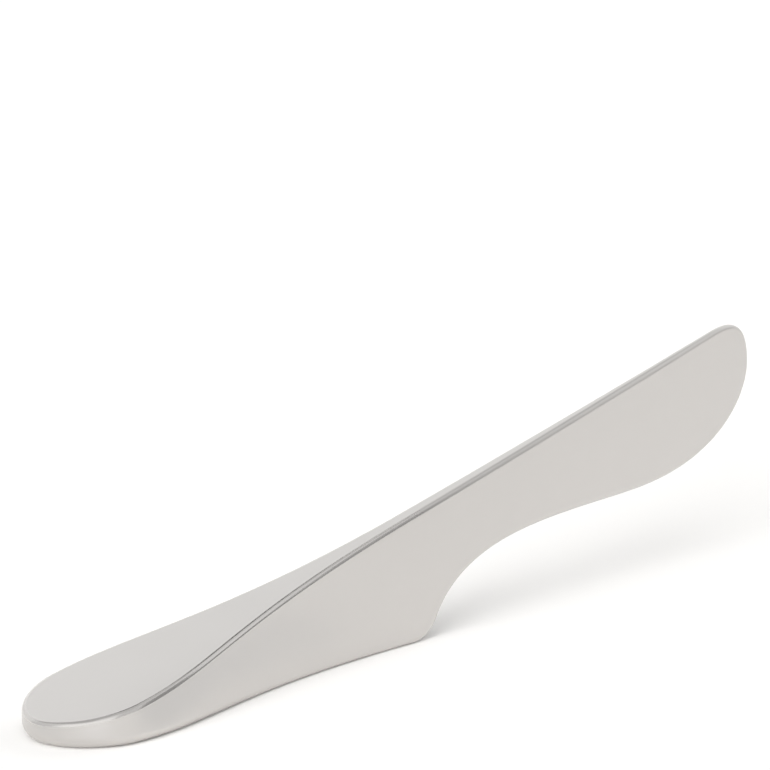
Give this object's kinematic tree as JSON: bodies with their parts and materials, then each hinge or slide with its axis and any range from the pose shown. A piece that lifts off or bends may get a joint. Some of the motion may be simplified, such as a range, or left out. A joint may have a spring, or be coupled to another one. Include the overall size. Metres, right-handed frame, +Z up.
{
  "type": "butter knife",
  "caption": "Self-standing butter knife: a low paddle handle with a flat underside runs up into an upright, round-nosed spreading blade held clear of the table.",
  "frame": {"origin": "centre of the knife's box, on the table plane that the ground underside rests on", "axes": "+X along the knife from the handle end to the blade tip, +Y across the blade's thickness, +Z up from the table"},
  "size_m": [0.17, 0.0234, 0.0441],
  "materials": {
    "steel": "soft satin polish"
  },
  "bodies": {
    "root": {"knife": "steel"}
  },
  "joints": []
}
